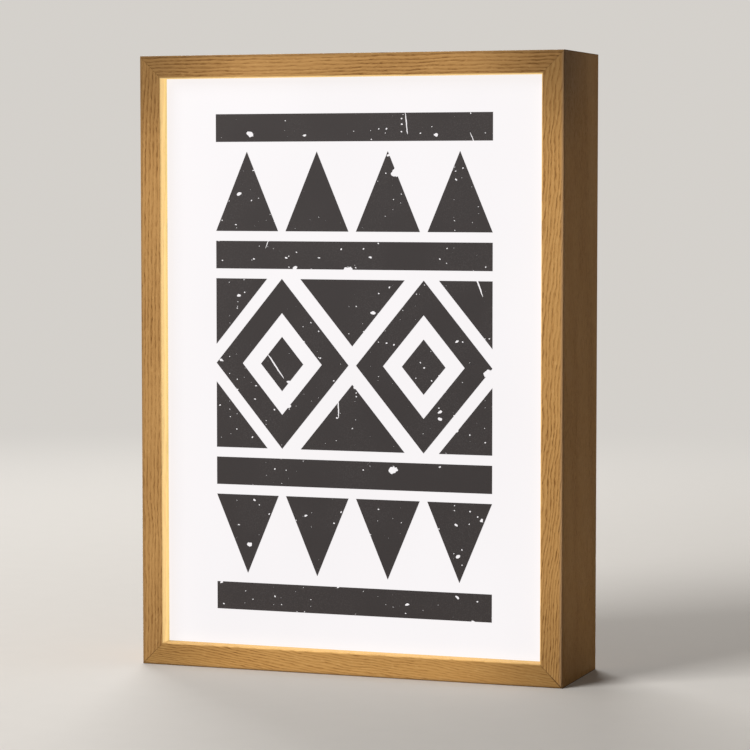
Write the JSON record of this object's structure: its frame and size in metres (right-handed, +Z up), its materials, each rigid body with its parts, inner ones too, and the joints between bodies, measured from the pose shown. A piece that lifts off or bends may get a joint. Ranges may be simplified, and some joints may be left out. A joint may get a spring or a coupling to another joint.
{
  "type": "light box sign",
  "caption": "Deep oak box frame with mitred corners around a lit white face with a dark geometric print, with a rocker switch, battery door and keyhole hangers.",
  "frame": {"origin": "middle of the base, halfway through the depth", "axes": "+Z up, +Y back to the wall, so the lit face looks along -Y, +X to the viewer's right"},
  "size_m": [0.2277, 0.062, 0.311],
  "materials": {
    "oak": "oiled oak, satin",
    "key_wood": "bare hardwood",
    "opal": "opal acrylic, lit from behind",
    "print": "dark film with worn flecks",
    "white_wood": "white primed softwood",
    "white_board": "matt white foam board",
    "strip": "white flexible strip",
    "lamp": "lamp body with yellow dome",
    "rubber": "matt",
    "black_plastic": "fine texture",
    "rocker_plastic": "smooth",
    "steel": "zinc plated",
    "spring_steel": "nickel plated",
    "brass": "bright",
    "cell_jacket": "plain wrapped jacket",
    "green_board": "solder mask",
    "nylon": "natural nylon",
    "ferrite": "matt ferrite",
    "capacitor": "sleeved can",
    "chip": "moulded",
    "red_wire": "insulated lead",
    "black_wire": "insulated lead",
    "hardboard": "smooth hardboard",
    "pine": "planed softwood"
  },
  "bodies": {
    "cabinet": {"top_rail": "oak", "bottom_rail": "oak", "left_rail": "oak", "right_rail": "oak", "mitre_keys": "key_wood", "face_panel": "opal", "print_film": "print", "top_batten": "white_wood", "bottom_batten": "white_wood", "left_batten": "white_wood", "right_batten": "white_wood", "light_board": "white_board", "board_screws": "steel", "lamp_strips": "strip", "lamps": "lamp", "cable_grommet": "rubber", "battery_tub": "black_plastic", "tub_screws": "steel", "battery_cells": "cell_jacket", "contact_springs": "spring_steel", "contact_plates": "spring_steel", "switch_housing": "black_plastic", "switch_terminals": "brass", "power_socket": "black_plastic", "socket_pin": "brass", "socket_terminals": "brass", "socket_nut": "steel", "driver_board": "green_board", "driver_posts": "nylon", "driver_coil": "ferrite", "driver_capacitors": "capacitor", "driver_chips": "chip", "red_leads": "red_wire", "black_leads": "black_wire", "back_panel": "hardboard", "panel_screws": "steel", "hanging_batten": "pine", "keyhole_plates": "steel", "keyhole_screws": "steel"},
    "rocker": {"switch_rocker": "rocker_plastic"},
    "door": {"battery_door": "black_plastic"}
  },
  "joints": [
    {"name": "rocker_tilt", "type": "hinge", "parent": "cabinet", "child": "rocker", "pos_m": [-0.1118, 0.0175, 0.064], "axis": [0, -1, 0], "range_deg": [0, 20]},
    {"name": "battery_door_hinge", "type": "hinge", "parent": "cabinet", "child": "door", "pos_m": [0.022, 0.02755, 0.11045], "axis": [1, 0, 0], "range_deg": [0, 95]}
  ]
}
